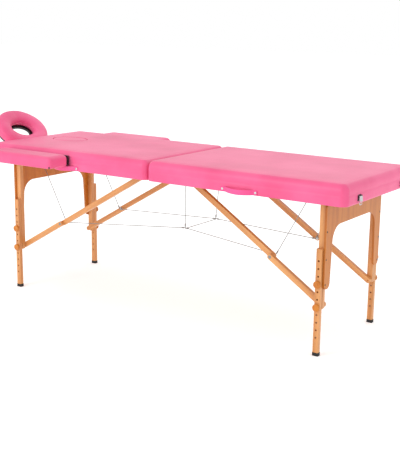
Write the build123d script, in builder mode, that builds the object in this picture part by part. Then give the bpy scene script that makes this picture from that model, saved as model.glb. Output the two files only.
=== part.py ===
"""Folding treatment bed: two padded halves, two folding leg frames with height-adjustable
legs, folding struts, cables, armrests, a face cushion on a tilting frame and a face-hole plug.

Millimetres. X runs along the bed (head end at -X, foot end at +X), Y across it, Z up.
The origin is on the floor under the centre of the bed's fold.
"""

import math
import os

from build123d import *

os.makedirs("parts", exist_ok=True)

# ---------------------------------------------------------------- driving dimensions
HALF = 930.0  # length of one half of the top
WIDTH = 620.0  # width of the top
SEAM = 1.0  # each half stops this far from the middle
CORNER = 27.0  # vertical corners of the top
Z_BOTTOM = 618.0  # underside of the rails
RAIL_H = 53.0
DECK_T = 4.0
PAD_T = 31.0
PAD_EDGE = 22.0  # roundness of the pad's top edges
SKIN = 1.5  # leather apron round the rails
RAIL_T = 12.0
END_T = 14.0
Z_DECK = Z_BOTTOM + RAIL_H
Z_PAD = Z_DECK + DECK_T
Z_TOP = Z_PAD + PAD_T
Y_OUT = WIDTH / 2
Y_RAIL = Y_OUT - SKIN - RAIL_T  # inner face of the side rails
Z_FOLD = Z_BOTTOM - 5.0  # axis of the centre hinges

LEG_X = 806.0  # leg frames, from the middle
Z_LEG = 645.0  # axis of the leg hinges
LEG_W = 24.0  # legs along X
UPPER_W = 25.0
LEG_T = 19.5  # legs along Y
GAP = 0.4  # running gap between bars that slide on each other
LEG_FACE = {"head": 284.0, "foot": 263.5}  # outer faces of the lower legs
LOWER_TOP = 434.0
FOOT_H = 14.0
UPPER_BOTTOM = 184.0
HOLE_PITCH = 31.0
HOLE_COUNT = 11
HOLE_Z = 76.0  # lowest hole
PIVOT_HOLE = 4  # the strut and the lower knob are at this hole
UPPER_HOLE = 7  # the upper knob is at this one
BOLT_R = 4.0
BOLT_FIT = 0.06
KNOB_R = 15.0
KNOB_T = 11.0

LINK_T = 17.5
LINK_W = 23.0
STRUT_X = {"head": 60.0, "foot": 134.0}  # top pivots of the struts
STRUT_Z = {"head": 631.0, "foot": 635.5}
BLOCK_T = 12.0  # blocks under the deck that carry the struts
BLOCK_W = 28.0
ELBOW_HEAD_R = 7.0
ELBOW_HEAD_T = 2.5

ARCH_T = 9.0
ARCH_BOTTOM = 270.0
ARCH_TOP = 612.0
ARCH_SET_IN = 12.0  # from the leg's outer face to the panel's edge
ARCH_LIMB_LOW = 45.0
ARCH_LIMB_HIGH = 55.0
ARCH_OPEN_TOP = 515.0
ARCH_OPEN_R = 65.0
ARCH_CORNER = 20.0
ARCH_LIMB_R = 20.0
ARCH_SCREW_Z = (290.0, 390.0, 500.0)
ARCH_SCREW_IN = 8.0

PLUG_X = -712.0
PLUG_LONG = 195.0  # along the bed
PLUG_WIDE = 135.0
PLUG_GAP = 1.0

HANDLE_X = 467.0
HANDLE_SPAN = 175.0
HANDLE_FOOT = 12.0  # length of each end that lies on the rail
HANDLE_H = 22.0
HANDLE_T = 4.0
HANDLE_BULGE = 20.0
HANDLE_Z = 629.0

ARM_X0 = -815.0
ARM_X1 = -425.0
ARM_GAP = 17.0
ARM_W = 122.0
ARM_TOP = 693.0
ARM_PAD_T = 44.0
ARM_BOARD_T = 8.0
ARM_CORNER = 16.0
ARM_EDGE = 14.0
ARM_BACK_GAP = 1.0  # between the cushion and the board that stands behind it
ARM_BACK_T = 9.0
ARM_BACK_H = 44.0
ARM_PEG_R = 5.0
ARM_PEGS = (-745.0, -575.0)
ARM_PEG_Z = 641.0

REST_PEG_R = 5.0
REST_PEG_Y = 60.0
REST_PEG_Z = 628.0
REST_BAR_X = -941.0
REST_BAR_T = 16.0
REST_ARM_H = 12.0
REST_TILT_X = -1030.0
REST_TILT_Z = 648.0
REST_TILT = 42.0
REST_RISE = 16.5  # from the tilt axis to the plate
REST_EAR_R = 9.0
REST_EAR_T = 6.0
REST_EAR_IN = 4.0  # outer face of the plate's ears beyond the pegs
REST_EAR_OUT = 12.0  # outer face of the base's ears beyond the pegs
RING_LONG = 250.0
RING_WIDE = 302.0
RING_BAND = 80.0
RING_EDGE = 22.0
RING_T = 55.0
RING_NEAR = 65.5  # how far the ring reaches past the tilt axis towards the bed
PLATE_T = 10.0

HINGE_Y = 130.0
HINGE_HALF = 30.0
LEAF_L = 36.0
LEAF_T = 2.5
BARREL_R = 5.0
PIN_R = 2.5
KNUCKLE = 10.0

LATCH_Y = 200.0
LATCH_Z = 645.0
LATCH_W = 26.0
LATCH_PIN = 6.0  # from the end of the top to the lever's pin

CABLE_R = 1.2
CABLE_Y = {"head": 196.0, "foot": 172.0}
CABLE_NODE = (73.5, 121.0, 389.0)  # where the wires of one side meet
CABLE_TOP = (88.0, 140.0)  # where the node's upright wire meets the deck
CABLE_ANCHOR_X = 740.0

PIVOT_Z = HOLE_Z + PIVOT_HOLE * HOLE_PITCH
SIDES = {"front": -1, "rear": 1}
ENDS = {"head": -1, "foot": 1}


def layers(end):
    """Outer faces, across the bed, of the lower leg, upper leg, lower link and upper link."""
    lower = LEG_FACE[end]
    upper = lower - LEG_T - GAP
    low_link = upper - LEG_T - GAP
    high_link = low_link - LINK_T - GAP
    return lower, upper, low_link, high_link


def strut_points(end):
    """The strut's pivots as (x, z): at the leg, at the elbow and under the deck.

    Folded flat, both links lie on one line, so their lengths differ by the distance between
    the other two pivots in that pose.
    """
    x, z = STRUT_X[end], STRUT_Z[end]
    length = math.hypot(LEG_X - x, z - PIVOT_Z)
    folded = math.hypot(LEG_X - (Z_LEG - PIVOT_Z) - x, Z_LEG - z)
    share = (length - folded) / (2 * length)
    s = ENDS[end]
    elbow = (s * (LEG_X - share * (LEG_X - x)), PIVOT_Z + share * (z - PIVOT_Z))
    return (s * LEG_X, PIVOT_Z), elbow, (s * x, z)


def save(builder, name):
    builder.part.label = name
    export_step(builder.part, f"parts/{name}.step")


def y_plane(x, z, y):
    """A plane whose normal is +Y, with its own X along the bed and its own Y pointing down."""
    return Plane(origin=(x, y, z), x_dir=(1, 0, 0), z_dir=(0, 1, 0))


# ---------------------------------------------------------------- the two halves of the top


def half_outline(s, inset):
    """The outline of one half of the top, drawn in from its outer faces by inset."""
    inner = SEAM + inset
    outer = HALF - inset
    with Locations((s * (inner + outer) / 2, 0)):
        RectangleRounded(outer - inner, WIDTH - 2 * inset, CORNER - inset)


def peg_planes(x):
    """Planes facing +X at x, centred on the headrest's two pegs."""
    return [Plane((x, y, REST_PEG_Z), z_dir=(1, 0, 0)) for y in (-REST_PEG_Y, REST_PEG_Y)]


def strut_block(end):
    """Middle, across the bed, of the blocks on the inner side of the upper links."""
    return layers(end)[3] - LINK_T - GAP - BLOCK_T / 2


def build_half(end):
    s = ENDS[end]
    inner = SEAM + SKIN
    outer = HALF - SKIN

    with BuildPart() as side_rails:
        with BuildSketch(Plane.XY.offset(Z_BOTTOM)):
            half_outline(s, SKIN)
            with Locations((s * HALF / 2, 0)):
                Rectangle(2 * HALF, 2 * Y_RAIL, mode=Mode.SUBTRACT)
        extrude(amount=RAIL_H)
        with Locations(y_plane(s * LEG_X, Z_LEG, 0)):
            Cylinder(BOLT_R, WIDTH, mode=Mode.SUBTRACT)
        if end == "head":
            for x in ARM_PEGS:
                with Locations(y_plane(x, ARM_PEG_Z, 0)):
                    Cylinder(ARM_PEG_R + BOLT_FIT, WIDTH, mode=Mode.SUBTRACT)
    save(side_rails, f"{end}_side_rails")

    with BuildPart() as cross_rails:
        with BuildSketch(Plane.XY.offset(Z_BOTTOM)):
            half_outline(s, SKIN)
            with Locations((s * HALF / 2, 0)):
                Rectangle(2 * HALF, 2 * Y_RAIL, mode=Mode.INTERSECT)
            with Locations((s * (inner + outer) / 2, 0)):
                Rectangle(outer - inner - 2 * END_T, 2 * Y_RAIL, mode=Mode.SUBTRACT)
        extrude(amount=RAIL_H)
        if end == "head":
            with Locations(*peg_planes(s * outer)):
                Cylinder(REST_PEG_R + BOLT_FIT, 4 * END_T, mode=Mode.SUBTRACT)
        block_x, block_z = strut_points(end)[2]
        block_bottom = max(block_z - BLOCK_W / 2, Z_BOTTOM)
        for t in SIDES.values():
            with Locations((block_x, t * strut_block(end), (block_bottom + Z_DECK) / 2)):
                Box(BLOCK_W, BLOCK_T, Z_DECK - block_bottom)
        with Locations(y_plane(block_x, block_z, 0)):
            Cylinder(BOLT_R, 2 * Y_RAIL, mode=Mode.SUBTRACT)
    save(cross_rails, f"{end}_cross_rails")

    with BuildPart() as deck:
        with BuildSketch(Plane.XY.offset(Z_DECK)):
            half_outline(s, SKIN)
            if end == "head":
                with Locations((PLUG_X, 0)):
                    Ellipse(PLUG_LONG / 2 - 12, PLUG_WIDE / 2 - 12, mode=Mode.SUBTRACT)
        extrude(amount=DECK_T)
    save(deck, f"{end}_deck")

    with BuildPart() as pad:
        with BuildSketch(Plane.XY.offset(Z_PAD)):
            half_outline(s, 0)
        extrude(amount=PAD_T)
        fillet(pad.faces().sort_by(Axis.Z)[-1].edges(), PAD_EDGE)
        if end == "head":
            with BuildSketch(Plane.XY.offset(Z_PAD)):
                with Locations((PLUG_X, 0)):
                    Ellipse(PLUG_LONG / 2, PLUG_WIDE / 2)
            extrude(amount=PAD_T, mode=Mode.SUBTRACT)
    save(pad, f"{end}_pad")

    with BuildPart() as apron:
        with BuildSketch(Plane.XY.offset(Z_BOTTOM)):
            half_outline(s, 0)
            with Locations((s * (inner + outer) / 2, 0)):
                RectangleRounded(
                    outer - inner, WIDTH - 2 * SKIN, CORNER - SKIN, mode=Mode.SUBTRACT
                )
        extrude(amount=RAIL_H + DECK_T)
        if end == "head":
            for x in ARM_PEGS:
                with Locations(y_plane(x, ARM_PEG_Z, 0)):
                    Cylinder(ARM_PEG_R + 1, WIDTH + 2, mode=Mode.SUBTRACT)
            with Locations(*peg_planes(-HALF)):
                Cylinder(REST_PEG_R + 1, END_T, mode=Mode.SUBTRACT)
    save(apron, f"{end}_apron")

    with BuildPart() as rods:
        with Locations(y_plane(s * LEG_X, Z_LEG, 0)):
            Cylinder(BOLT_R, WIDTH - 2 * SKIN - 2)
        for t in SIDES.values():
            pin = BLOCK_T + LINK_T + GAP
            outer_end = layers(end)[3]
            with Locations(y_plane(*strut_points(end)[2], t * (outer_end - pin / 2))):
                Cylinder(BOLT_R, pin)
    save(rods, f"{end}_pivot_rods")

    near, far = HANDLE_X - HANDLE_SPAN / 2, HANDLE_X + HANDLE_SPAN / 2
    foot = HANDLE_FOOT
    with BuildPart() as handle:
        with BuildSketch(Plane.XY.offset(HANDLE_Z - HANDLE_H / 2)):
            with BuildLine():
                y0 = -Y_OUT
                outside = (s * HANDLE_X, y0 - HANDLE_BULGE - HANDLE_T)
                inside = (s * HANDLE_X, y0 - HANDLE_BULGE)
                ThreePointArc((s * near, y0), outside, (s * far, y0))
                Line((s * far, y0), (s * (far - foot), y0))
                ThreePointArc((s * (far - foot), y0), inside, (s * (near + foot), y0))
                Line((s * (near + foot), y0), (s * near, y0))
            make_face()
        extrude(amount=HANDLE_H)
    save(handle, f"{end}_handle")


# ---------------------------------------------------------------- legs, arch and struts
def hole_heights():
    return [HOLE_Z + k * HOLE_PITCH for k in range(HOLE_COUNT)]


def build_lower_leg(end, side):
    s, t = ENDS[end], SIDES[side]
    y = t * (layers(end)[0] - LEG_T / 2)
    with BuildPart() as leg:
        with BuildSketch(Plane.XY.offset(FOOT_H - 6)):
            with Locations((s * LEG_X, y)):
                Rectangle(LEG_W, LEG_T)
        extrude(amount=LOWER_TOP - FOOT_H + 6)
        chamfer(leg.edges().filter_by(Axis.Z), 1.5)
        for z in hole_heights():
            with Locations(y_plane(s * LEG_X, z, y)):
                Cylinder(BOLT_R + BOLT_FIT, LEG_T + 2, mode=Mode.SUBTRACT)
    save(leg, f"{end}_{side}_lower_leg")

    with BuildPart() as foot:
        with BuildSketch(Plane.XY):
            with Locations((s * LEG_X, y)):
                RectangleRounded(LEG_W + 2, LEG_T + 0.6, 2)
        extrude(amount=FOOT_H)
        with BuildSketch(Plane.XY.offset(FOOT_H - 6)):
            with Locations((s * LEG_X, y)):
                Rectangle(LEG_W, LEG_T)
        extrude(amount=6, mode=Mode.SUBTRACT)
    save(foot, f"{end}_{side}_foot")


def build_knob(end, side, level):
    """A round wooden knob on its bolt, with the nut inside the strut or leg."""
    s, t = ENDS[end], SIDES[side]
    lower, upper, low_link, high_link = layers(end)
    z = HOLE_Z + (PIVOT_HOLE if level == "lower" else UPPER_HOLE) * HOLE_PITCH
    inner = high_link - 0.1 + GAP if level == "lower" else low_link + GAP
    with BuildPart() as knob:
        with BuildSketch(y_plane(s * LEG_X, z, t * (lower + 0.3))):
            Circle(KNOB_R)
        extrude(amount=t * KNOB_T)
        chamfer(knob.edges().filter_by(GeomType.CIRCLE), 1.5)
        with BuildSketch(y_plane(s * LEG_X, z, t * inner)):
            Circle(BOLT_R)
        extrude(amount=t * (lower + 0.3 - inner + 2))
    save(knob, f"{end}_{side}_{level}_knob")


def build_leg_frame(end):
    s = ENDS[end]
    lower, upper, _, _ = layers(end)
    with BuildPart() as legs:
        for t in SIDES.values():
            with BuildSketch(y_plane(s * LEG_X, 0, t * upper)):
                with BuildLine():
                    r = UPPER_W / 2
                    Line((-r, -Z_LEG), (-r, -UPPER_BOTTOM - r))
                    ThreePointArc((-r, -UPPER_BOTTOM - r), (0, -UPPER_BOTTOM), (r, -UPPER_BOTTOM - r))
                    Line((r, -UPPER_BOTTOM - r), (r, -Z_LEG))
                    ThreePointArc((r, -Z_LEG), (0, -Z_LEG - r), (-r, -Z_LEG))
                make_face()
            extrude(amount=-t * LEG_T)
        for z in (PIVOT_Z, HOLE_Z + UPPER_HOLE * HOLE_PITCH, Z_LEG):
            with Locations(y_plane(s * LEG_X, z, 0)):
                Cylinder(BOLT_R + BOLT_FIT, WIDTH, mode=Mode.SUBTRACT)
    save(legs, f"{end}_upper_legs")

    face = s * (LEG_X + UPPER_W / 2)
    edge = lower - ARCH_SET_IN
    with BuildPart() as arch:
        with BuildSketch(Plane(origin=(face, 0, 0), x_dir=(0, 1, 0), z_dir=(1, 0, 0))):
            with BuildLine():
                inner_low = edge - ARCH_LIMB_LOW
                inner_high = edge - ARCH_LIMB_HIGH
                foot = Polyline(
                    (edge, ARCH_TOP), (edge, ARCH_BOTTOM), (inner_low, ARCH_BOTTOM),
                    (inner_high, ARCH_OPEN_TOP - ARCH_OPEN_R),
                )
                RadiusArc(foot @ 1, (inner_high - ARCH_OPEN_R, ARCH_OPEN_TOP), -ARCH_OPEN_R)
                Line((inner_high - ARCH_OPEN_R, ARCH_OPEN_TOP), (0, ARCH_OPEN_TOP))
                Line((0, ARCH_OPEN_TOP), (0, ARCH_TOP))
                Line((0, ARCH_TOP), (edge, ARCH_TOP))
            make_face()
            mirror(about=Plane.YZ)
        extrude(amount=s * ARCH_T)
        fillet(arch.edges().filter_by(Axis.X).group_by(Axis.Z)[-1], ARCH_CORNER)
        fillet(arch.edges().filter_by(Axis.X).group_by(Axis.Z)[0], ARCH_LIMB_R)
    save(arch, f"{end}_arch_panel")

    with BuildPart() as screws:
        for t in SIDES.values():
            for z in ARCH_SCREW_Z:
                head = Plane(
                    origin=(face + s * (ARCH_T + 0.1), t * (edge - ARCH_SCREW_IN), z), z_dir=(s, 0, 0)
                )
                with BuildSketch(head):
                    Circle(3.5)
                extrude(amount=1.2, taper=30)
    save(screws, f"{end}_arch_screws")


def link_outline(start, finish):
    """A bar with round ends from one pivot to the next, drawn on a plane facing +Y."""
    (x0, z0), (x1, z1) = start, finish
    middle = ((x0 + x1) / 2, -(z0 + z1) / 2)
    angle = math.degrees(math.atan2(-(z1 - z0), x1 - x0))
    with Locations(Location((middle[0], middle[1], 0), (0, 0, angle))):
        SlotCenterToCenter(math.hypot(x1 - x0, z1 - z0), LINK_W)


def build_struts(end):
    low_link, high_link = layers(end)[2:]
    pivot, elbow, top = strut_points(end)
    with BuildPart() as lower_links:
        for t in SIDES.values():
            with BuildSketch(y_plane(0, 0, t * low_link)):
                link_outline(pivot, elbow)
            extrude(amount=-t * LINK_T)
        for (x, z), fit in ((pivot, BOLT_FIT), (elbow, 0)):
            with Locations(y_plane(x, z, 0)):
                Cylinder(BOLT_R + fit, WIDTH, mode=Mode.SUBTRACT)
        for t in SIDES.values():
            with BuildSketch(y_plane(*elbow, t * low_link)):
                Circle(ELBOW_HEAD_R)
            extrude(amount=-t * ELBOW_HEAD_T, mode=Mode.SUBTRACT)
    save(lower_links, f"{end}_lower_links")

    with BuildPart() as upper_links:
        for t in SIDES.values():
            with BuildSketch(y_plane(0, 0, t * high_link)):
                link_outline(elbow, top)
            extrude(amount=-t * LINK_T)
        for (x, z), fit in ((top, BOLT_FIT), (elbow, 0)):
            with Locations(y_plane(x, z, 0)):
                Cylinder(BOLT_R + fit, WIDTH, mode=Mode.SUBTRACT)
    save(upper_links, f"{end}_upper_links")

    with BuildPart() as bolts:
        for t in SIDES.values():
            with BuildSketch(y_plane(*elbow, t * low_link)):
                Circle(ELBOW_HEAD_R)
            extrude(amount=-t * ELBOW_HEAD_T)
            with BuildSketch(y_plane(*elbow, t * low_link)):
                Circle(BOLT_R)
            extrude(amount=-t * LINK_T)
    save(bolts, f"{end}_elbow_bolts")


# ---------------------------------------------------------------- armrests


def build_armrest(side):
    t = SIDES[side]
    y0 = Y_OUT + ARM_GAP
    y_mid = t * (y0 + ARM_W / 2)
    x_mid = (ARM_X0 + ARM_X1) / 2
    length = ARM_X1 - ARM_X0
    z_board = ARM_TOP - ARM_PAD_T - ARM_BOARD_T
    with BuildPart() as cushion:
        with BuildSketch(Plane.XY.offset(z_board + ARM_BOARD_T)):
            with Locations((x_mid, y_mid)):
                RectangleRounded(length, ARM_W, ARM_CORNER)
        extrude(amount=ARM_PAD_T)
        fillet(cushion.faces().sort_by(Axis.Z)[-1].edges(), ARM_EDGE)
    save(cushion, f"{side}_armrest_cushion")

    with BuildPart() as frame:
        for x in ARM_PEGS:
            tip = Y_RAIL + 0.5
            far = y0 + ARM_W * 0.7
            with BuildSketch(y_plane(x, ARM_PEG_Z, t * tip)):
                Circle(ARM_PEG_R)
            extrude(amount=t * (far - tip))
        inner = y0 - ARM_BACK_GAP - ARM_BACK_T
        outer = y0 + ARM_W - 4
        with Locations((x_mid, t * (inner + outer) / 2, z_board + ARM_BOARD_T / 2)):
            Box(length - 8, outer - inner, ARM_BOARD_T)
        with Locations((x_mid, t * (inner + ARM_BACK_T / 2), z_board + ARM_BACK_H / 2)):
            Box(length - 8, ARM_BACK_T, ARM_BACK_H)
    save(frame, f"{side}_armrest_frame")


# ---------------------------------------------------------------- headrest


def build_headrest():
    with BuildPart() as base:
        for t in SIDES.values():
            with BuildSketch(Plane((REST_BAR_X, t * REST_PEG_Y, REST_PEG_Z), z_dir=(1, 0, 0))):
                Circle(REST_PEG_R)
            extrude(amount=80)
            with BuildSketch(y_plane(0, 0, t * (REST_PEG_Y + REST_EAR_OUT))):
                with BuildLine():
                    Polyline(
                        (REST_BAR_X, -Z_BOTTOM),
                        (REST_BAR_X, -(Z_BOTTOM + REST_ARM_H)),
                        (REST_TILT_X + REST_EAR_R, -(Z_BOTTOM + REST_ARM_H)),
                        (REST_TILT_X + REST_EAR_R, -REST_TILT_Z),
                        (REST_TILT_X - REST_EAR_R, -REST_TILT_Z),
                        (REST_TILT_X - REST_EAR_R, -Z_BOTTOM),
                        close=True,
                    )
                make_face()
            extrude(amount=-t * REST_EAR_T)
            with BuildSketch(y_plane(REST_TILT_X, REST_TILT_Z, t * (REST_PEG_Y + REST_EAR_OUT))):
                Circle(REST_EAR_R)
            extrude(amount=-t * REST_EAR_T)
        with Locations((REST_BAR_X, 0, REST_PEG_Z)):
            Box(REST_BAR_T, 2 * (REST_PEG_Y + REST_EAR_OUT), REST_BAR_T)
        with Locations(y_plane(REST_TILT_X, REST_TILT_Z, 0)):
            Cylinder(BOLT_R + BOLT_FIT, WIDTH, mode=Mode.SUBTRACT)
    save(base, "headrest_base")

    tilt = Plane(
        origin=(REST_TILT_X, 0, REST_TILT_Z),
        x_dir=(-math.cos(math.radians(REST_TILT)), 0, math.sin(math.radians(REST_TILT))),
        z_dir=(math.sin(math.radians(REST_TILT)), 0, math.cos(math.radians(REST_TILT))),
    )
    centre = RING_LONG / 2 - RING_NEAR
    with BuildPart() as plate:
        with BuildSketch(tilt.offset(REST_RISE)):
            with Locations((centre, 0)):
                Ellipse(RING_LONG / 2 - 14, RING_WIDE / 2 - 14)
                Ellipse(
                    RING_LONG / 2 - RING_BAND - 8,
                    RING_WIDE / 2 - RING_BAND - 8,
                    mode=Mode.SUBTRACT,
                )
        extrude(amount=PLATE_T)
        for t in SIDES.values():
            ear = Plane(
                origin=(REST_TILT_X, t * (REST_PEG_Y + REST_EAR_IN), REST_TILT_Z),
                x_dir=tilt.x_dir,
                z_dir=(0, 1, 0),
            )
            with BuildSketch(ear):
                Circle(REST_EAR_R)
                with Locations((0, REST_RISE / 2 + 1)):
                    Rectangle(2 * REST_EAR_R, REST_RISE + 2)
            extrude(amount=-t * REST_EAR_T)
        with Locations(y_plane(REST_TILT_X, REST_TILT_Z, 0)):
            Cylinder(BOLT_R, 2 * (REST_PEG_Y + REST_EAR_OUT) + 8)
    save(plate, "headrest_plate")

    with BuildPart() as cushion:
        with BuildSketch(tilt.offset(REST_RISE + PLATE_T)):
            with Locations((centre, 0)):
                Ellipse(RING_LONG / 2, RING_WIDE / 2)
                Ellipse(RING_LONG / 2 - RING_BAND, RING_WIDE / 2 - RING_BAND, mode=Mode.SUBTRACT)
        extrude(amount=RING_T)
        fillet(cushion.faces().sort_by(Axis(tilt.origin, tilt.z_dir))[-1].edges(), RING_EDGE)
    save(cushion, "headrest_cushion")

    with BuildPart() as lever:
        y0 = -(REST_PEG_Y + REST_EAR_OUT + 4.5)
        with BuildSketch(y_plane(REST_TILT_X, REST_TILT_Z, y0)):
            Circle(10)
            with Locations((-22, 0)):
                Rectangle(44, 9)
        extrude(amount=-8)
    save(lever, "headrest_cam_lever")


# ---------------------------------------------------------------- centre hinges


def build_hinge_leaves(end):
    """Head leaves have the outer knuckles and hold the pins; foot leaves have the middle one."""
    s = ENDS[end]
    z = Z_BOTTOM - LEAF_T / 2
    outer = (HINGE_HALF - KNUCKLE - 0.3) if end == "head" else 2 * KNUCKLE
    middles = (-1, 1) if end == "head" else (0,)
    with BuildPart() as leaves:
        for y in (-HINGE_Y, HINGE_Y):
            with Locations((s * (LEAF_L + BARREL_R + 1) / 2, y, z)):
                Box(LEAF_L - BARREL_R - 1, 2 * HINGE_HALF, LEAF_T)
            for m in middles:
                y_mid = y + m * (HINGE_HALF + KNUCKLE + 0.3) / 2
                with Locations(y_plane(0, Z_FOLD, y_mid)):
                    Cylinder(BARREL_R, outer)
                with Locations((s * 4, y_mid, z)):
                    Box(8, outer, LEAF_T)
        if end == "foot":
            with Locations(y_plane(0, Z_FOLD, 0)):
                Cylinder(PIN_R + BOLT_FIT, WIDTH, mode=Mode.SUBTRACT)
        else:
            for y in (-HINGE_Y, HINGE_Y):
                with Locations(y_plane(0, Z_FOLD, y)):
                    Cylinder(PIN_R, 2 * HINGE_HALF)
    save(leaves, f"{end}_hinge_leaves")


# ---------------------------------------------------------------- latches


def build_latches():
    with BuildPart() as bases:
        for y in (-LATCH_Y, LATCH_Y):
            with Locations((HALF + 1.0, y, LATCH_Z - 4)):
                Box(2, LATCH_W + 4, 24)
            for e in (-1, 1):
                with Locations((HALF + 5.0, y + e * (LATCH_W / 2 + 1), LATCH_Z)):
                    Box(6, 2, 10)
            with Locations(y_plane(HALF + LATCH_PIN, LATCH_Z, y)):
                Cylinder(1.5, LATCH_W + 4)
    save(bases, "latch_bases")

    for side, t in SIDES.items():
        with BuildPart() as lever:
            y = t * LATCH_Y
            with BuildSketch(y_plane(0, 0, y - LATCH_W / 2 + 0.5)):
                with BuildLine():
                    Polyline(
                        (HALF + 3.4, -(LATCH_Z + 2.6)),
                        (HALF + 8.6, -(LATCH_Z + 2.6)),
                        (HALF + 12.0, -(LATCH_Z - 18)),
                        (HALF + 9.5, -(LATCH_Z - 18)),
                        (HALF + 6.8, -(LATCH_Z - 3)),
                        (HALF + 3.4, -(LATCH_Z - 2.6)),
                        close=True,
                    )
                make_face()
            extrude(amount=LATCH_W - 1)
            with BuildSketch(Plane((HALF + 8.0, y, LATCH_Z - 20), x_dir=(0, 1, 0), z_dir=(1, 0, 0))):
                RectangleRounded(20, 24, 4)
                RectangleRounded(15, 19, 2.5, mode=Mode.SUBTRACT)
            extrude(amount=2.0)
            with Locations(y_plane(HALF + LATCH_PIN, LATCH_Z, y)):
                Cylinder(1.5 + BOLT_FIT, LATCH_W + 4, mode=Mode.SUBTRACT)
        save(lever, f"{side}_latch_lever")

    with BuildPart() as catches:
        for y in (-LATCH_Y, LATCH_Y):
            with Locations((-HALF - 1.0, y, LATCH_Z - 4)):
                Box(2, LATCH_W, 22)
            with Locations((-HALF - 4.0, y, LATCH_Z + 3)):
                Box(6, LATCH_W - 8, 3)
            with Locations((-HALF - 6.0, y, LATCH_Z + 5.5)):
                Box(2, LATCH_W - 8, 4)
    save(catches, "latch_catches")


# ---------------------------------------------------------------- cables under the bed


def wire(p, q, trim):
    """A straight wire from p to q, stopping short of both ends."""
    start, finish = Vector(*p), Vector(*q)
    run = (finish - start).normalized()
    with BuildSketch(Plane(origin=start + run * trim, z_dir=run)) as section:
        Circle(CABLE_R)
    extrude(section.sketch, amount=(finish - start).length - 2 * trim)


def build_cables(end):
    """The wires of one half: the long ones that cross the fold are cut there."""
    s = ENDS[end]
    elbow_x, elbow_z = strut_points(end)[1]
    node_x, node_y, node_z = CABLE_NODE
    head_x, head_z = strut_points("head")[1]
    share = -head_x / (node_x - head_x)
    fold_y = CABLE_Y["head"] + share * (node_y - CABLE_Y["head"])
    fold_z = head_z + share * (node_z - head_z)
    with BuildPart() as cables:
        for t in SIDES.values():
            y = t * CABLE_Y[end]
            elbow = (elbow_x, y, elbow_z)
            node = (node_x, t * node_y, node_z)
            at_fold = (0, t * fold_y, fold_z)
            wire((s * CABLE_ANCHOR_X, y, Z_DECK - 1), elbow, 1.5)
            if end == "head":
                wire(elbow, at_fold, 2.5)
            else:
                wire(elbow, node, 2.5)
                wire(at_fold, node, 1.0)
                wire(node, (CABLE_TOP[0], t * CABLE_TOP[1], Z_DECK - 1), 1.0)
        if end == "foot":
            wire((node_x, -node_y, node_z - 3), (node_x, node_y, node_z - 3), 1.0)
    save(cables, f"{end}_cables")


# ---------------------------------------------------------------- face-hole plug
def build_plug():
    with BuildPart() as plug:
        with BuildSketch(Plane.XY.offset(Z_PAD + 0.5)):
            with Locations((PLUG_X, 0)):
                Ellipse(PLUG_LONG / 2 - PLUG_GAP, PLUG_WIDE / 2 - PLUG_GAP)
        extrude(amount=PAD_T - 0.5)
        fillet(plug.faces().sort_by(Axis.Z)[-1].edges(), 6)
    save(plug, "face_hole_plug")


for end_name in ENDS:
    build_half(end_name)
    build_leg_frame(end_name)
    build_struts(end_name)
    build_hinge_leaves(end_name)
    build_cables(end_name)
    for side_name in SIDES:
        build_lower_leg(end_name, side_name)
        for level_name in ("lower", "upper"):
            build_knob(end_name, side_name, level_name)
for side_name in SIDES:
    build_armrest(side_name)
build_headrest()
build_latches()
build_plug()
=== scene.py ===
"""Looks of the folding treatment bed: leather pads, varnished beech, cables and hardware."""
import math

import bmesh
import bpy
from mathutils import Matrix, Vector, noise


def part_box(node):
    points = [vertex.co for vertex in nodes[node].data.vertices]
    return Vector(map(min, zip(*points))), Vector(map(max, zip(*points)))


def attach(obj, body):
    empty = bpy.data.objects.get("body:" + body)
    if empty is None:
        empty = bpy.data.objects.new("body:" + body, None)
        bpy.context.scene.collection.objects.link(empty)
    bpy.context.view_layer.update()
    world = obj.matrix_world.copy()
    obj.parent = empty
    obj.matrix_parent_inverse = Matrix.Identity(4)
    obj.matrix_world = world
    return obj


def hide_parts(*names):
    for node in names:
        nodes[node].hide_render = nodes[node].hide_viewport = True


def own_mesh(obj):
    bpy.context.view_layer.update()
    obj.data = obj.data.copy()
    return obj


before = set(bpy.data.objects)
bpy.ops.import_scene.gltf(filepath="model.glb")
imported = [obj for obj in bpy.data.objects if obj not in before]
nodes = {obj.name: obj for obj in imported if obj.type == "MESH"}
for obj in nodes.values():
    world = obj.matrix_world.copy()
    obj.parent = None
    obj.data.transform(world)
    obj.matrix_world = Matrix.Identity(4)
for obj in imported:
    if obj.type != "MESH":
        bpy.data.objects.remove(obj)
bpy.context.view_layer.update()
MM = 0.001


# ------------------------------------------------------------------ small helpers
def lerp(a, b, t):
    return a + (b - a) * t


def mesh_object(name, verts, faces, smooth=True):
    mesh = bpy.data.meshes.new(name)
    mesh.from_pydata([tuple(v) for v in verts], [], faces)
    mesh.validate()
    mesh.polygons.foreach_set("use_smooth", [smooth] * len(mesh.polygons))
    obj = bpy.data.objects.new(name, mesh)
    bpy.context.scene.collection.objects.link(obj)
    return obj


def fix_normals(obj):
    bm = bmesh.new()
    bm.from_mesh(obj.data)
    bmesh.ops.remove_doubles(bm, verts=bm.verts, dist=1e-6)
    bmesh.ops.recalc_face_normals(bm, faces=bm.faces)
    bm.to_mesh(obj.data)
    bm.free()


def apply_modifiers(obj):
    bpy.context.view_layer.update()
    graph = bpy.context.evaluated_depsgraph_get()
    mesh = bpy.data.meshes.new_from_object(obj.evaluated_get(graph), depsgraph=graph)
    obj.modifiers.clear()
    obj.data = mesh


def bevel(obj, width, segments=2, angle=40):
    mod = obj.modifiers.new("edge", "BEVEL")
    mod.width = width
    mod.segments = segments
    mod.limit_method = "ANGLE"
    mod.angle_limit = math.radians(angle)
    mod.harden_normals = False
    return mod


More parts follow.
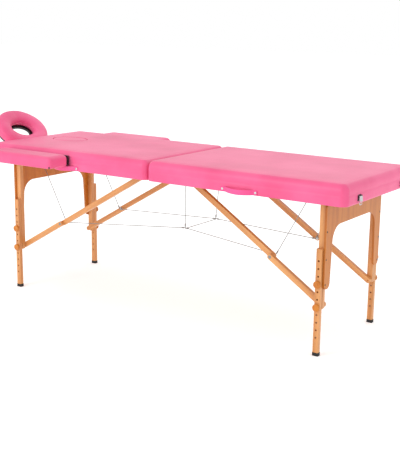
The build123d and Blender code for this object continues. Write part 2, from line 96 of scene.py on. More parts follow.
def box_corners(*names):
    lows, highs = zip(*[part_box(n) for n in names])
    low = Vector([min(v[i] for v in lows) for i in range(3)])
    high = Vector([max(v[i] for v in highs) for i in range(3)])
    return low, high


def paint(obj, material):
    obj.data.materials.clear()
    obj.data.materials.append(material)


# ------------------------------------------------------------------ materials
class Graph:
    """A short way to write a material's node tree."""

    def __init__(self, name):
        self.material = bpy.data.materials.new(name)
        self.material.use_nodes = True
        self.tree = self.material.node_tree
        self.tree.nodes.clear()
        self.shader = self.add("ShaderNodeBsdfPrincipled")
        out = self.add("ShaderNodeOutputMaterial")
        self.link(self.shader.outputs[0], out.inputs[0])
        self.coords = self.add("ShaderNodeTexCoord").outputs["Object"]

    def add(self, kind, **values):
        node = self.tree.nodes.new(kind)
        for key, value in values.items():
            setattr(node, key, value)
        return node

    def link(self, source, target):
        self.tree.links.new(source, target)

    def put(self, node, **inputs):
        for key, value in inputs.items():
            socket = node.inputs[key.replace("_", " ")]
            if hasattr(value, "is_output"):
                self.link(value, socket)
            else:
                socket.default_value = value
        return node

    def mapping(self, scale=(1, 1, 1), rotation=(0, 0, 0), source=None):
        node = self.add("ShaderNodeMapping")
        self.link(source or self.coords, node.inputs["Vector"])
        node.inputs["Scale"].default_value = scale
        node.inputs["Rotation"].default_value = rotation
        return node.outputs[0]

    def noise(self, vector, scale, detail=4.0, rough=0.55, distortion=0.0):
        node = self.add("ShaderNodeTexNoise")
        self.put(node, Vector=vector, Scale=scale, Detail=detail, Roughness=rough, Distortion=distortion)
        return node.outputs["Fac"]

    def ramp(self, fac, stops):
        node = self.add("ShaderNodeValToRGB")
        self.link(fac, node.inputs[0])
        elements = node.color_ramp.elements
        while len(elements) < len(stops):
            elements.new(0.5)
        for element, (place, colour) in zip(elements, stops):
            element.position = place
            element.color = (*colour, 1) if len(colour) == 3 else colour
        return node.outputs[0]

    def mix(self, fac, a, b, blend="MIX"):
        node = self.add("ShaderNodeMix", data_type="RGBA", blend_type=blend)
        for socket, value in ((node.inputs[0], fac), (node.inputs[6], a), (node.inputs[7], b)):
            if hasattr(value, "is_output"):
                self.link(value, socket)
            else:
                socket.default_value = (*value, 1) if isinstance(value, tuple) and len(value) == 3 else value
        return node.outputs[2]

    def math(self, operation, a, b=0.0):
        node = self.add("ShaderNodeMath", operation=operation)
        for socket, value in zip(node.inputs, (a, b)):
            if hasattr(value, "is_output"):
                self.link(value, socket)
            else:
                socket.default_value = value
        return node.outputs[0]

    def bump(self, height, strength, distance, normal=None):
        node = self.add("ShaderNodeBump")
        self.put(node, Height=height, Strength=strength, Distance=distance)
        if normal is not None:
            self.link(normal, node.inputs["Normal"])
        return node.outputs[0]

    def surface(self, **inputs):
        self.put(self.shader, **inputs)
        return self.material


PLY_PITCH = 3 * MM


def leather(name, colour, dark, light):
    """Soft upholstery vinyl: a fine pebble grain, slow tone changes and a satin coat."""
    g = Graph(name)
    pebble = g.add("ShaderNodeTexVoronoi", feature="F1")
    g.put(pebble, Vector=g.mapping(), Scale=900.0, Randomness=1.0)
    fine = g.noise(g.mapping(), 1500.0, 3.0)
    slow = g.noise(g.mapping(), 4.0, 3.0, 0.5)
    crease = g.noise(g.mapping((1, 1, 2)), 16.0, 5.0, 0.6, 0.6)
    tone = g.ramp(slow, [(0.3, dark), (0.5, colour), (0.75, light)])
    height = g.math("ADD", g.math("MULTIPLY", pebble.outputs["Distance"], 0.7), g.math("MULTIPLY", fine, 0.3))
    grain = g.bump(height, 0.16, 0.0006)
    normal = g.bump(crease, 0.16, 0.004, grain)
    rough = g.math("ADD", g.math("MULTIPLY", fine, 0.12), 0.34)
    return g.surface(
        Base_Color=tone, Roughness=rough, Normal=normal, Coat_Weight=0.03, Coat_Roughness=0.35,
        Specular_IOR_Level=0.32, Sheen_Weight=0.04, Sheen_Roughness=0.5,
    )


def wood(name, along, base, dark, light, gloss=0.36, ply_axis=None):
    """Varnished timber whose grain runs along one direction, with pores, rays and slow streaks."""
    g = Graph(name)
    direction = Vector(along).normalized()
    turn = direction.rotation_difference(Vector((0, 0, 1))).to_euler()
    straight = g.mapping(rotation=tuple(turn))
    stretched = g.mapping(scale=(1, 1, 0.045), source=straight)
    streak = g.noise(stretched, 42.0, 5.0, 0.6, 0.7)
    fibre = g.noise(g.mapping(scale=(1, 1, 0.03), source=straight), 520.0, 3.0)
    pores = g.noise(g.mapping(scale=(1, 1, 0.11), source=straight), 330.0, 2.0, 0.5)
    board = g.noise(g.mapping(), 3.0, 2.0)
    tone = g.ramp(streak, [(0.28, dark), (0.5, base), (0.74, light)])
    shift = g.ramp(board, [(0.3, (0.86, 0.84, 0.80)), (0.7, (1.0, 1.0, 1.0))])
    tone = g.mix(0.75, tone, shift, "MULTIPLY")
    flecks = g.ramp(pores, [(0.30, (0.62, 0.50, 0.40)), (0.40, (1, 1, 1))])
    tone = g.mix(0.35, tone, flecks, "MULTIPLY")
    if ply_axis is not None:
        split = g.add("ShaderNodeSeparateXYZ")
        g.link(g.coords, split.inputs[0])
        layers = g.math("FRACT", g.math("MULTIPLY", split.outputs[ply_axis], 1.0 / PLY_PITCH))
        stripes = g.ramp(layers, [(0.0, (0.55, 0.42, 0.30)), (0.42, (0.60, 0.46, 0.33)),
                                  (0.5, (1, 1, 1)), (1, (1, 1, 1))])
        facing = g.add("ShaderNodeNewGeometry").outputs["Normal"]
        parts = g.add("ShaderNodeSeparateXYZ")
        g.link(facing, parts.inputs[0])
        edge = g.ramp(g.math("ABSOLUTE", parts.outputs[ply_axis]), [(0.35, (1, 1, 1)), (0.6, (0, 0, 0))])
        tone = g.mix(edge, tone, g.mix(1.0, tone, stripes, "MULTIPLY"))
    rough = g.math("ADD", g.math("MULTIPLY", fibre, 0.16), gloss - 0.08)
    height = g.math("ADD", g.math("MULTIPLY", fibre, 0.6), g.math("MULTIPLY", pores, 0.4))
    return g.surface(
        Base_Color=tone, Roughness=rough, Normal=g.bump(height, 0.12, 0.0005),
        Coat_Weight=0.12, Coat_Roughness=0.22, Specular_IOR_Level=0.35,
    )


def metal(name, colour, rough, metallic=1.0):
    g = Graph(name)
    grime = g.noise(g.mapping(), 240.0, 4.0)
    tone = g.ramp(grime, [(0.3, tuple(c * 0.8 for c in colour)), (0.7, colour)])
    scratches = g.noise(g.mapping(scale=(1, 1, 0.1)), 1400.0, 2.0)
    return g.surface(
        Base_Color=tone, Metallic=metallic,
        Roughness=g.math("ADD", g.math("MULTIPLY", grime, 0.2), rough - 0.1),
        Normal=g.bump(scratches, 0.05, 0.0002),
    )


def moulded(name, colour, rough):
    g = Graph(name)
    stipple = g.noise(g.mapping(), 1800.0, 2.0)
    dust = g.noise(g.mapping(), 30.0, 3.0)
    tone = g.ramp(dust, [(0.3, colour), (0.8, tuple(min(1, c * 1.5 + 0.01) for c in colour))])
    return g.surface(Base_Color=tone, Roughness=rough, Normal=g.bump(stipple, 0.15, 0.0003))


PINK = (0.80, 0.105, 0.255)
PINK_DARK = (0.72, 0.078, 0.21)
PINK_LIGHT = (0.86, 0.14, 0.305)
pink = leather("pink_leather", PINK, PINK_DARK, PINK_LIGHT)
strap_pink = leather("strap_leather", (0.80, 0.09, 0.28), (0.72, 0.06, 0.22), (0.86, 0.12, 0.33))
BEECH = ((0.66, 0.30, 0.105), (0.53, 0.21, 0.062), (0.75, 0.38, 0.15))
AMBER = ((0.58, 0.19, 0.018), (0.48, 0.135, 0.011), (0.65, 0.24, 0.03))


def beech(name, along, tones=BEECH, **extra):
    return wood(name, along, *tones, **extra)


legs_wood = beech("beech_legs", (0, 0, 1))
rails_wood = beech("beech_rails_long", (1, 0, 0))
cross_wood = beech("beech_rails_cross", (0, 1, 0))
arch_wood = beech("ply_arch", (0, 0, 1), AMBER, ply_axis=0)
deck_wood = beech("ply_deck", (1, 0, 0), AMBER, ply_axis=2)
knob_wood = beech("beech_knobs", (0, 1, 0), AMBER)
steel = metal("zinc_steel", (0.62, 0.62, 0.62), 0.35)
dull_steel = metal("dull_steel", (0.30, 0.29, 0.28), 0.45)
black_steel = metal("black_steel", (0.045, 0.045, 0.05), 0.42, 0.7)
wire_steel = metal("wire_steel", (0.30, 0.30, 0.29), 0.5, 0.2)
rubber = moulded("black_rubber", (0.005, 0.005, 0.005), 0.65)
black_plastic = moulded("black_plastic", (0.006, 0.006, 0.007), 0.42)

# ------------------------------------------------------------------ the CAD nodes that stay
ENDS = {"head": -1, "foot": 1}
SIDES = {"front": -1, "rear": 1}

for end, s in ENDS.items():
    low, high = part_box(f"{end}_lower_links")
    slope = Vector((-s * (high[0] - low[0]), 0, high[2] - low[2]))
    link_wood = beech(f"beech_{end}_links", slope)
    for name, material in (
        ("side_rails", rails_wood), ("cross_rails", cross_wood), ("deck", deck_wood),
        ("upper_legs", legs_wood), ("arch_panel", arch_wood), ("arch_screws", black_steel),
        ("lower_links", link_wood), ("upper_links", link_wood), ("elbow_bolts", dull_steel),
        ("pivot_rods", steel), ("hinge_leaves", steel),
    ):
        paint(nodes[f"{end}_{name}"], material)
    for name in ("upper_legs", "arch_panel", "lower_links", "upper_links"):
        bevel(nodes[f"{end}_{name}"], 1.6 * MM)
    for side in SIDES:
        paint(nodes[f"{end}_{side}_lower_leg"], legs_wood)
        bevel(nodes[f"{end}_{side}_lower_leg"], 0.5 * MM)
        paint(nodes[f"{end}_{side}_foot"], rubber)
        bevel(nodes[f"{end}_{side}_foot"], 1.5 * MM, 3)
        for level in ("lower", "upper"):
            paint(nodes[f"{end}_{side}_{level}_knob"], knob_wood)
            bevel(nodes[f"{end}_{side}_{level}_knob"], 1.2 * MM, 3, 25)
for name, material in (
    ("latch_bases", black_steel), ("latch_catches", black_steel),
    ("front_latch_lever", steel), ("rear_latch_lever", steel),
    ("headrest_base", black_plastic), ("headrest_plate", black_plastic),
    ("headrest_cam_lever", black_plastic),
    ("front_armrest_frame", black_plastic), ("rear_armrest_frame", black_plastic),
):
    paint(nodes[name], material)
    bevel(nodes[name], 0.6 * MM)


# ------------------------------------------------------------------ padded tops
def rounded_ring(cx, cy, a, b, radius, straight=28, corner=9):
    """Points of a rounded rectangle, always the same number, anticlockwise from the +X side."""
    radius = min(radius, a - 1e-4, b - 1e-4)
    points = []
    corners = ((1, 1), (-1, 1), (-1, -1), (1, -1))
    for k, (sx, sy) in enumerate(corners):
        ox, oy = cx + sx * (a - radius), cy + sy * (b - radius)
        start = k * math.pi / 2
        for i in range(corner):
            angle = start + math.pi / 2 * i / (corner - 1)
            points.append((ox + radius * math.cos(angle), oy + radius * math.sin(angle)))
        nx, ny = corners[(k + 1) % 4]
        px, py = cx + nx * (a - radius), cy + ny * (b - radius)
        after = start + math.pi / 2
        end_x, end_y = px + radius * math.cos(after), py + radius * math.sin(after)
        last = points[-1]
        for i in range(1, straight):
            t = i / straight
            points.append((lerp(last[0], end_x, t), lerp(last[1], end_y, t)))
    return points


def ring_faces(count, first, second):
    """Quads between two rings of points whose first indices are given."""
    return [(first + i, first + (i + 1) % count, second + (i + 1) % count, second + i) for i in range(count)]


def closed_faces(rings, start=0):
    """Faces of a skin through rings of equal length, with the first and the last ring filled."""
    count = len(rings[0])
    faces = []
    for r in range(len(rings) - 1):
        faces += ring_faces(count, start + r * count, start + (r + 1) * count)
    faces.append(tuple(start + i for i in reversed(range(count))))
    faces.append(tuple(start + (len(rings) - 1) * count + i for i in range(count)))
    return faces


def stack(name, rings):
    """A closed skin through rings of equal length."""
    obj = mesh_object(name, [p for ring in rings for p in ring], closed_faces(rings))
    fix_normals(obj)
    return obj


def quarter(inset, height, radius_in, radius_up, steps, power=2.0):
    """Stations of a rounded edge, from the side up and over: (inset, z)."""
    out = []
    for i in range(steps + 1):
        a = math.pi / 2 * i / steps
        c, s = math.cos(a) ** (2 / power), math.sin(a) ** (2 / power)
        out.append((inset + radius_in * (1 - c), height - radius_up * (1 - s)))
    return out


def hug(value, centre, width):
    return math.exp(-((value - centre) / width) ** 2)


def wrinkle(point, scale, seed):
    return noise.fractal(Vector((point[0] * scale + seed, point[1] * scale, point[2] * scale)), 1.0, 2.0, 4)


TOP_EDGE = 40 * MM
TOP_DROP = 36 * MM
TOP_CORNER = 28 * MM
TOP_INSETS = (12, 28, 50, 80, 120, 165, 215, 262)  # rings of the flat, in mm from the rounded edge
SIDE_STEPS = (0.08, 0.2, 0.32, 0.44, 0.56, 0.64, 0.70, 0.76, 0.82, 0.9)
LEAST_CORNER = 5 * MM
LIP = 10 * MM
SKIN = 1.2 * MM
PAD_HOLLOW = 20 * MM  # from the top of the cover down to its inner skin
GROOVE_DEPTH, BULGE_DEPTH = 47 * MM, 62 * MM
GATHER_SPAN = 70 * MM
LEAST_PUFF = 0.25 * MM
SEAM_CLEAR = 20 * MM


def near_seam(x):
    return abs(x) < SEAM_CLEAR


def flat_sag(x, y, depth, s):
    """How far the flat of the top lies off its plane at a depth from the edge."""
    return 0.8 * MM * wrinkle((x, y, 0.1), 5.0, 3.0 + s) - 1.0 * MM * hug(depth, 0.028, 0.03) - 1.2 * MM


def side_puff(x, y, z, zt, side_t, to_corner, s):
    """How far the side of the cover swells outward, with gathers near the corners."""
    gather = math.exp(-((to_corner / GATHER_SPAN) ** 2))
    puff = 1.0 * MM + 0.8 * MM * wrinkle((x, y, z * 2.5), 8.0, 11.0 + s)
    puff += 0.9 * MM * gather * math.sin(to_corner * 420 + 3 * wrinkle((x, y, z), 12, 7.0)) * side_t
    puff -= 1.4 * MM * hug(z, zt - GROOVE_DEPTH, 4 * MM)
    puff += 1.0 * MM * hug(z, zt - BULGE_DEPTH, 13 * MM)
    return max(puff, LEAST_PUFF)


def outer_ring(box, inset, z, s):
    """One ring of the outer skin: box is (cx, cy, a, b, bottom, top)."""
    cx, cy, a, b, zb, zt = box
    side_t = (z - zb) / (zt - zb)
    ring = []
    for x, y in rounded_ring(cx, cy, a - inset, b - inset, max(TOP_CORNER - inset, LEAST_CORNER), 46, 9):
        to_x, to_y = a - abs(x - cx), b - abs(y - cy)
        zz = z
        if inset >= TOP_EDGE * 0.6:
            zz += flat_sag(x, y, min(to_x, to_y), s)
        elif side_t > 0.03:
            puff = side_puff(x, y, z, zt, side_t, math.hypot(to_x, to_y), s)
            near = 3 * MM + inset
            if to_x < near and not near_seam(x):
                x += puff * math.copysign(1, x - cx)
            if to_y < near:
                y += puff * math.copysign(1, y - cy)
        ring.append((x, y, zz))
    return ring


def cover_top(end):
    """Leather over one half: lip under the rails, sides, soft edge and a faintly crowned top."""
    s = ENDS[end]
    low, high = box_corners(f"{end}_pad", f"{end}_apron")
    cx, cy = (low[0] + high[0]) / 2, (low[1] + high[1]) / 2
    a, b = (high[0] - low[0]) / 2, (high[1] - low[1]) / 2
    zb, zt = low[2], high[2]
    box = (cx, cy, a, b, zb, zt)
    deck_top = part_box(f"{end}_deck")[1][2]
    stations = [(LIP, zb - 0.6 * MM), (2 * MM, zb - 0.8 * MM), (0.0, zb + 2 * MM)]
    stations += [(0.0, lerp(zb, zt - TOP_DROP, t)) for t in SIDE_STEPS]
    stations += quarter(0, zt, TOP_EDGE, TOP_DROP, 9, 2.2)
    stations += [(TOP_EDGE + d * MM, zt) for d in TOP_INSETS]
    rings = [outer_ring(box, inset, z, s) for inset, z in stations]
    inside = []
    for inset, z in ((TOP_EDGE + TOP_INSETS[-1] * MM, zt - PAD_HOLLOW), (30 * MM, zt - PAD_HOLLOW),
                     (SKIN + 0.6 * MM, zt - 32 * MM), (SKIN + 0.2 * MM, deck_top + 1.0 * MM),
                     (SKIN, zb + 1 * MM), (LIP, zb)):
        radius = max(TOP_CORNER - inset, LEAST_CORNER)
        inside.append([(x, y, z) for x, y in rounded_ring(cx, cy, a - inset, b - inset, radius, 46, 9)])
    count = len(rings[0])
    verts = [p for ring in rings + inside for p in ring]
    total = len(rings) + len(inside)
    last = len(rings) - 1
    faces = []
    for r in range(total):
        if r != last:
            faces += ring_faces(count, r * count, (r + 1) % total * count)
    faces.append(tuple(last * count + i for i in range(count)))
    faces.append(tuple((last + 1) * count + i for i in reversed(range(count))))
    obj = mesh_object(f"{end}_leather_top", verts, faces)
    fix_normals(obj)
    return obj


def oval_ring(centre, a, b, z, count=96):
    return [(centre[0] + a * math.cos(t), centre[1] + b * math.sin(t), z)
            for t in (2 * math.pi * i / count for i in range(count))]


def cut_oval(obj, centre, a, b, z0, z1, segments=96):
    """Cuts an upright oval hole from z0 to z1 into obj."""
    cutter = stack("cutter", [oval_ring(centre, a, b, z, segments) for z in (z0, z1)])
    mod = obj.modifiers.new("hole", "BOOLEAN")
    mod.operation = "DIFFERENCE"
    mod.solver = "EXACT"
    mod.object = cutter
    apply_modifiers(obj)
    bpy.data.objects.remove(cutter, do_unlink=True)


def shade_by_angle(obj, angle=35):
    """Marks edges sharper than angle, so that smooth shading keeps them crisp."""
    bm = bmesh.new()
    bm.from_mesh(obj.data)
    for edge in bm.edges:
        if len(edge.link_faces) == 2:
            edge.smooth = edge.calc_face_angle(0) < math.radians(angle)
    for face in bm.faces:
        face.smooth = True
    bm.to_mesh(obj.data)
    bm.free()


PLUG_EDGE = 9 * MM
PLUG_CROWN = 0.8 * MM
PLUG_PLAY = 0.8 * MM  # all round, between the plug and its hole

plug_low, plug_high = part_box("face_hole_plug")
plug_mid = ((plug_low[0] + plug_high[0]) / 2, (plug_low[1] + plug_high[1]) / 2)
plug_a, plug_b = (plug_high[0] - plug_low[0]) / 2, (plug_high[1] - plug_low[1]) / 2

for end in ENDS:
    top = cover_top(end)
    paint(top, pink)
    if end == "head":
        cut_oval(top, plug_mid, plug_a + PLUG_PLAY, plug_b + PLUG_PLAY, plug_low[2], plug_high[2] + 20 * MM)
    shade_by_angle(top)
    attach(top, f"{end}_half")
    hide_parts(f"{end}_pad", f"{end}_apron")


def make_plug():
    def ring(inset, z):
        return oval_ring(plug_mid, plug_a - inset, plug_b - inset, z)

    low_z, high_z = plug_low[2], plug_high[2]
    rings = [ring(2 * MM, low_z), ring(0, low_z + 4 * MM), ring(0, high_z - PLUG_EDGE - 2 * MM)]
    rings += [ring(inset, z) for inset, z in quarter(0, high_z - PLUG_CROWN, PLUG_EDGE, PLUG_EDGE, 6)]
    for inset, rise in ((18, 0.3), (32, 0.6), (50, 0.8)):
        rings.append(ring(inset * MM, high_z + rise * MM - PLUG_CROWN))
    plug = stack("face_plug_cushion", rings)
    paint(plug, pink)
    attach(plug, "face_plug")
    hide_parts("face_hole_plug")


make_plug()


# ------------------------------------------------------------------ armrests
ARM_SKIRT = 9 * MM  # how far the cover reaches down over the board
ARM_EDGE, ARM_DROP = 24 * MM, 20 * MM
ARM_CORNER = 17 * MM
ARM_SINK = 0.8 * MM


def make_armrest(side):
    low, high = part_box(f"{side}_armrest_cushion")
    base, zt = low[2] - ARM_SKIRT, high[2]
    cx, cy = (low[0] + high[0]) / 2, (low[1] + high[1]) / 2
    a, b = (high[0] - low[0]) / 2, (high[1] - low[1]) / 2
    stations = [(16 * MM, base), (5 * MM, base), (1.5 * MM, base + 2.5 * MM), (0.5 * MM, base + 8 * MM),
                (0.0, lerp(base, zt, 0.4)), (0.0, lerp(base, zt, 0.55))]
    stations += quarter(0, zt, ARM_EDGE, ARM_DROP, 8, 2.1)
    stations += [(30 * MM, zt), (40 * MM, zt), (52 * MM, zt)]
    rings = []
    for inset, z in stations:
        ring = []
        radius = max(ARM_CORNER - inset * 0.5, 6 * MM)
        for x, y in rounded_ring(cx, cy, a - inset, b - inset, radius, 30, 9):
            pull = 0.8 * MM * wrinkle((x, y, z), 22.0, 5.0) if z < lerp(base, zt, 0.5) else 0.0
            rise = 0.6 * MM * wrinkle((x, y, 0), 9.0, 2.0) if inset > 20 * MM else 0.0
            ring.append((x - math.copysign(pull, x - cx), y - math.copysign(pull, y - cy),
                         z + rise - ARM_SINK))
        rings.append(ring)
    cushion = stack(f"{side}_armrest_leather", rings)
    paint(cushion, pink)
    shade_by_angle(cushion, 50)
    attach(cushion, f"{side}_armrest")
    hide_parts(f"{side}_armrest_cushion")


for side in SIDES:
    make_armrest(side)


# ------------------------------------------------------------------ headrest ring
REST_TILT = 42  # degrees, from flat to the ring's rest position
RING_LONG, RING_WIDE = 125 * MM, 151 * MM
RING_BAND, RING_THICK = 80 * MM, 55 * MM
RING_POWER = 2 / 2.5  # exponent of the section: 1 is an ellipse, less is squarer
RING_AROUND, RING_SECTION = 120, 26


def make_headrest():
    """An oval ring, fat and rounded, with a flat underside and a seam round it."""
    low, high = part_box("headrest_cushion")
    tilt = math.radians(REST_TILT)
    u = Vector((-math.cos(tilt), 0, math.sin(tilt)))
    v = Vector((0, 1, 0))
    n = Vector((math.sin(tilt), 0, math.cos(tilt)))
    centre = Vector(((low[0] + high[0]) / 2, 0, (low[2] + high[2]) / 2))
    mid_a, mid_b = RING_LONG - RING_BAND / 2, RING_WIDE - RING_BAND / 2
    verts, faces = [], []
    for i in range(RING_AROUND):
        t = 2 * math.pi * i / RING_AROUND
        ct, st = math.cos(t), math.sin(t)
        for k in range(RING_SECTION):
            p = 2 * math.pi * k / RING_SECTION
            c, s = math.cos(p), math.sin(p)
            r = RING_BAND / 2 * math.copysign(abs(c) ** RING_POWER, c)
            h = RING_THICK / 2 * math.copysign(abs(s) ** RING_POWER, s)
            r *= 1 - 0.05 * hug(s, -0.15, 0.16) * (1 if c > 0 else 0.6)
            if s > 0:
                h += 1.2 * MM * wrinkle((ct * 0.2, st * 0.2, s * 0.05), 14.0, 4.0)
            h = max(h, -RING_THICK / 2 + 0.3 * MM)
            verts.append(centre + u * ((mid_a + r) * ct) + v * ((mid_b + r) * st) + n * h)
    for i in range(RING_AROUND):
        here, after = i * RING_SECTION, (i + 1) % RING_AROUND * RING_SECTION
        for k in range(RING_SECTION):
            k2 = (k + 1) % RING_SECTION
            faces.append((here + k, after + k, after + k2, here + k2))
    ring = mesh_object("headrest_ring_leather", verts, faces)
    fix_normals(ring)
    paint(ring, pink)
    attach(ring, "headrest")
    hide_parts("headrest_cushion")


make_headrest()


# ------------------------------------------------------------------ carrying handles
STRAP_HALF, STRAP_THICK = 10.5 * MM, 1.6 * MM
STRAP_STEPS = 40
STRAP_SIDES = 20
SCREW_PROFILE = ((0, 5.2), (0.4, 5.4), (1.0, 5.0), (1.8, 3.8), (2.3, 2.0))  # depth and radius in mm


def strap_path(end):
    low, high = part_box(f"{end}_handle")
    x0, x1 = low[0], high[0]
    wall, out = high[1], low[1]
    zc = (low[2] + high[2]) / 2
    points = []
    for i in range(STRAP_STEPS + 1):
        t = i / STRAP_STEPS
        bow = max(0.0, math.sin(math.pi * min(max((t - 0.12) / 0.76, 0), 1)))
        x = lerp(x0 + 2 * MM, x1 - 2 * MM, t)
        y = wall - 2.4 * MM - (wall - out - 5.4 * MM) * bow ** 0.8
        z = zc - 3.0 * MM * bow
        points.append(Vector((x, y, z)))
    return points


def make_handle(end):
    """A strap, bowed away from the apron between its two screwed ends."""
    points = strap_path(end)
    section = []
    for k in range(STRAP_SIDES):
        a = 2 * math.pi * k / STRAP_SIDES
        c, s = math.cos(a), math.sin(a)
        section.append((STRAP_HALF * math.copysign(abs(c) ** 0.5, c),
                        STRAP_THICK * math.copysign(abs(s) ** 0.6, s)))
    rings = []
    for i, p in enumerate(points):
        before, after = points[max(i - 1, 0)], points[min(i + 1, len(points) - 1)]
        d = (after - before).normalized()
        out = Vector((d.y, -d.x, 0)).normalized()
        t = i / (len(points) - 1)
        edge = min(t, 1 - t) / 0.05
        width = min(1.0, 0.72 + 0.28 * edge) if edge < 1 else 1.0
        belly = 1 + 0.5 * math.exp(-((t - 0.5) / 0.22) ** 2)
        rings.append([tuple(p + Vector((0, 0, 1)) * (w * width) + out * (h * belly)) for w, h in section])
    strap = stack(f"{end}_strap_handle", rings)
    paint(strap, strap_pink)
    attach(strap, f"{end}_half")
    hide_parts(f"{end}_handle")
    for k, i in enumerate((2, len(points) - 3)):
        p = points[i]
        wall = p.y - STRAP_THICK + 0.5 * MM
        rings = []
        for d, r in SCREW_PROFILE:
            rings.append([(p.x + r * MM * math.cos(a), wall - d * MM, p.z + r * MM * math.sin(a))
                          for a in (2 * math.pi * q / 24 for q in range(24))])
        screw = stack(f"{end}_handle_screw_{k + 1}", rings)
        paint(screw, steel)
        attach(screw, f"{end}_half")


for end in ENDS:
    make_handle(end)


# ------------------------------------------------------------------ strut hardware
def round_piece(name, centre, axis, profile, material, body, segments=32):
    """A turned piece: profile is (distance along axis, radius) in mm."""
    axis = Vector(axis).normalized()
    side = axis.orthogonal().normalized()
    up = axis.cross(side)
    rings = []
    for d, r in profile:
        rings.append([tuple(Vector(centre) + axis * (d * MM)
                            + (side * math.cos(a) + up * math.sin(a)) * (r * MM))
                      for a in (2 * math.pi * q / segments for q in range(segments))])
    piece = stack(name, rings)
    shade_by_angle(piece, 40)
    paint(piece, material)
    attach(piece, body)
    return piece


NUT_PROFILE = ((-0.5, 7.5), (0.8, 7.5), (0.9, 6.2), (4.6, 6.2), (5.2, 5.4), (5.2, 3.9), (6.4, 3.6))
LINK_THICK = 17.5 * MM


def elbow_centre(end):
    low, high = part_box(f"{end}_elbow_bolts")
    return (low[0] + high[0]) / 2, (low[2] + high[2]) / 2


for end in ENDS:
    elbow_x, elbow_z = elbow_centre(end)
    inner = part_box(f"{end}_upper_links")[1][1] - LINK_THICK
    for side, t in SIDES.items():
        round_piece(f"{end}_{side}_elbow_nut", (elbow_x, t * inner, elbow_z), (0, -t, 0), NUT_PROFILE,
                    steel, f"{end}_upper_links", 12)


# ------------------------------------------------------------------ cables
CABLE_R = 1.5 * MM


def tube(p, q, radius, segments=10):
    d = (q - p).normalized()
    side = d.orthogonal().normalized()
    up = d.cross(side)
    return [[tuple(c + (side * math.cos(a) + up * math.sin(a)) * radius)
             for a in (2 * math.pi * k / segments for k in range(segments))] for c in (p, q)]


CABLE_NODE = Vector((73.5 * MM, 121 * MM, 389 * MM))
CABLE_TOP = (88 * MM, 140 * MM)
CABLE_ANCHOR_X = 740 * MM
SLEEVE_FROM_END = 12 * MM
SLEEVE_HALF = 6 * MM


def make_cables(end):
    """Taut coated wires with crimp sleeves where they meet: the crossing ones are cut at the fold."""
    s = ENDS[end]
    wide = {name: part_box(f"{name}_cables")[1][1] for name in ENDS}
    z_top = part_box(f"{end}_cables")[1][2]
    head_x, head_z = elbow_centre("head")
    head_elbow = Vector((head_x, wide["head"], head_z))
    at_fold = head_elbow.lerp(CABLE_NODE, -head_x / (CABLE_NODE.x - head_x))
    elbow_x, elbow_z = elbow_centre(end)
    verts, faces = [], []

    def add(rings):
        faces.extend(closed_faces(rings, len(verts)))
        for ring in rings:
            verts.extend(ring)

    def sleeve(at, run):
        add(tube(at - run * SLEEVE_HALF, at + run * SLEEVE_HALF, CABLE_R * 2.1, 8))

    for t in SIDES.values():
        elbow = Vector((elbow_x, t * wide[end], elbow_z))
        anchor = Vector((s * CABLE_ANCHOR_X, t * wide[end], z_top))
        deck_end = Vector((CABLE_TOP[0], t * CABLE_TOP[1], z_top))
        node, fold = (Vector((p.x, t * p.y, p.z)) for p in (CABLE_NODE, at_fold))
        runs = [(anchor, elbow, True)]
        if end == "head":
            runs += [(elbow, fold, False)]
        else:
            runs += [(elbow, node, True), (node, fold, False), (node, deck_end, True)]
        for p, q, crimped in runs:
            add(tube(p, q, CABLE_R))
            d = (q - p).normalized()
            sleeve(p + d * SLEEVE_FROM_END, d)
            if crimped:
                sleeve(q - d * SLEEVE_FROM_END, d)
    if end == "foot":
        across = CABLE_NODE - Vector((0, 0, 3 * MM))
        add(tube(Vector((across.x, -across.y, across.z)), across, CABLE_R))
    cables = mesh_object(f"{end}_wire_cables", verts, faces)
    fix_normals(cables)
    paint(cables, wire_steel)
    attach(cables, f"{end}_half")
    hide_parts(f"{end}_cables")
    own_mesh(cables)


for end in ENDS:
    make_cables(end)


# ------------------------------------------------------------------ stage, light and camera
FLOOR_HALF = 30.0
CAMERA_PLACE = (2.3455, -3.3071, 1.2864)
CAMERA_TURNS = (34.54, 12.95, 0.73)  # yaw, pitch and roll in degrees
CAMERA_LENS = 71.7


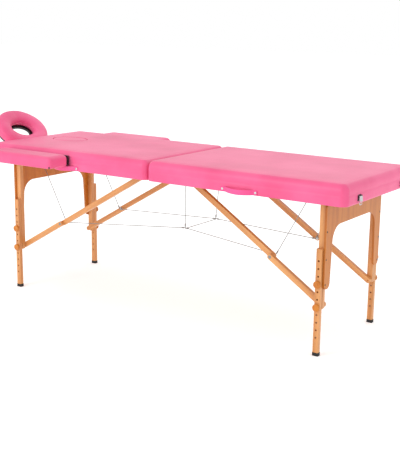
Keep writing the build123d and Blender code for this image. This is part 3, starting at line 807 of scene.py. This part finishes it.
def area_light(name, place, target, size, power):
    data = bpy.data.lights.new(name, "AREA")
    data.shape = "RECTANGLE"
    data.size, data.size_y = size
    data.energy = power
    light = bpy.data.objects.new(name, data)
    bpy.context.scene.collection.objects.link(light)
    light.location = place
    light.rotation_euler = (Vector(target) - Vector(place)).to_track_quat("-Z", "Y").to_euler()


def make_stage():
    r = FLOOR_HALF
    floor = mesh_object("floor", [(-r, -r, 0), (r, -r, 0), (r, r, 0), (-r, r, 0)], [(0, 1, 2, 3)])
    g = Graph("floor_white")
    paint(floor, g.surface(Base_Color=(0.95, 0.95, 0.95, 1.0), Roughness=1.0, Specular_IOR_Level=0.0,
                           Emission_Color=(1.0, 1.0, 1.0, 1.0), Emission_Strength=0.25))
    world = bpy.data.worlds.new("studio")
    bpy.context.scene.world = world
    world.use_nodes = True
    background = world.node_tree.nodes["Background"]
    background.inputs["Color"].default_value = (1, 1, 1, 1)
    background.inputs["Strength"].default_value = 1.0
    area_light("key", (-1.2, -3.8, 2.2), (0, 0, 0.5), (2.0, 2.0), 50)
    area_light("back", (-0.5, 3.0, 3.0), (0, 0, 0.7), (3.0, 1.5), 12)


def make_camera():
    place = Vector(CAMERA_PLACE)
    yaw, pitch, roll = (math.radians(d) for d in CAMERA_TURNS)
    ahead = Vector((-math.sin(yaw) * math.cos(pitch), math.cos(yaw) * math.cos(pitch), -math.sin(pitch)))
    right = Vector((math.cos(yaw), math.sin(yaw), 0))
    up = right.cross(ahead)
    c, s = math.cos(roll), math.sin(roll)
    right, up = right * c + up * s, up * c - right * s
    data = bpy.data.cameras.new("camera")
    data.lens = CAMERA_LENS
    data.sensor_width = 36
    data.sensor_fit = "AUTO"
    data.clip_end = 100
    camera = bpy.data.objects.new("camera", data)
    bpy.context.scene.collection.objects.link(camera)
    camera.matrix_world = Matrix((
        (right.x, up.x, -ahead.x, place.x),
        (right.y, up.y, -ahead.y, place.y),
        (right.z, up.z, -ahead.z, place.z),
        (0, 0, 0, 1),
    ))
    bpy.context.scene.camera = camera


make_stage()
make_camera()
bpy.context.scene.view_settings.view_transform = "Standard"
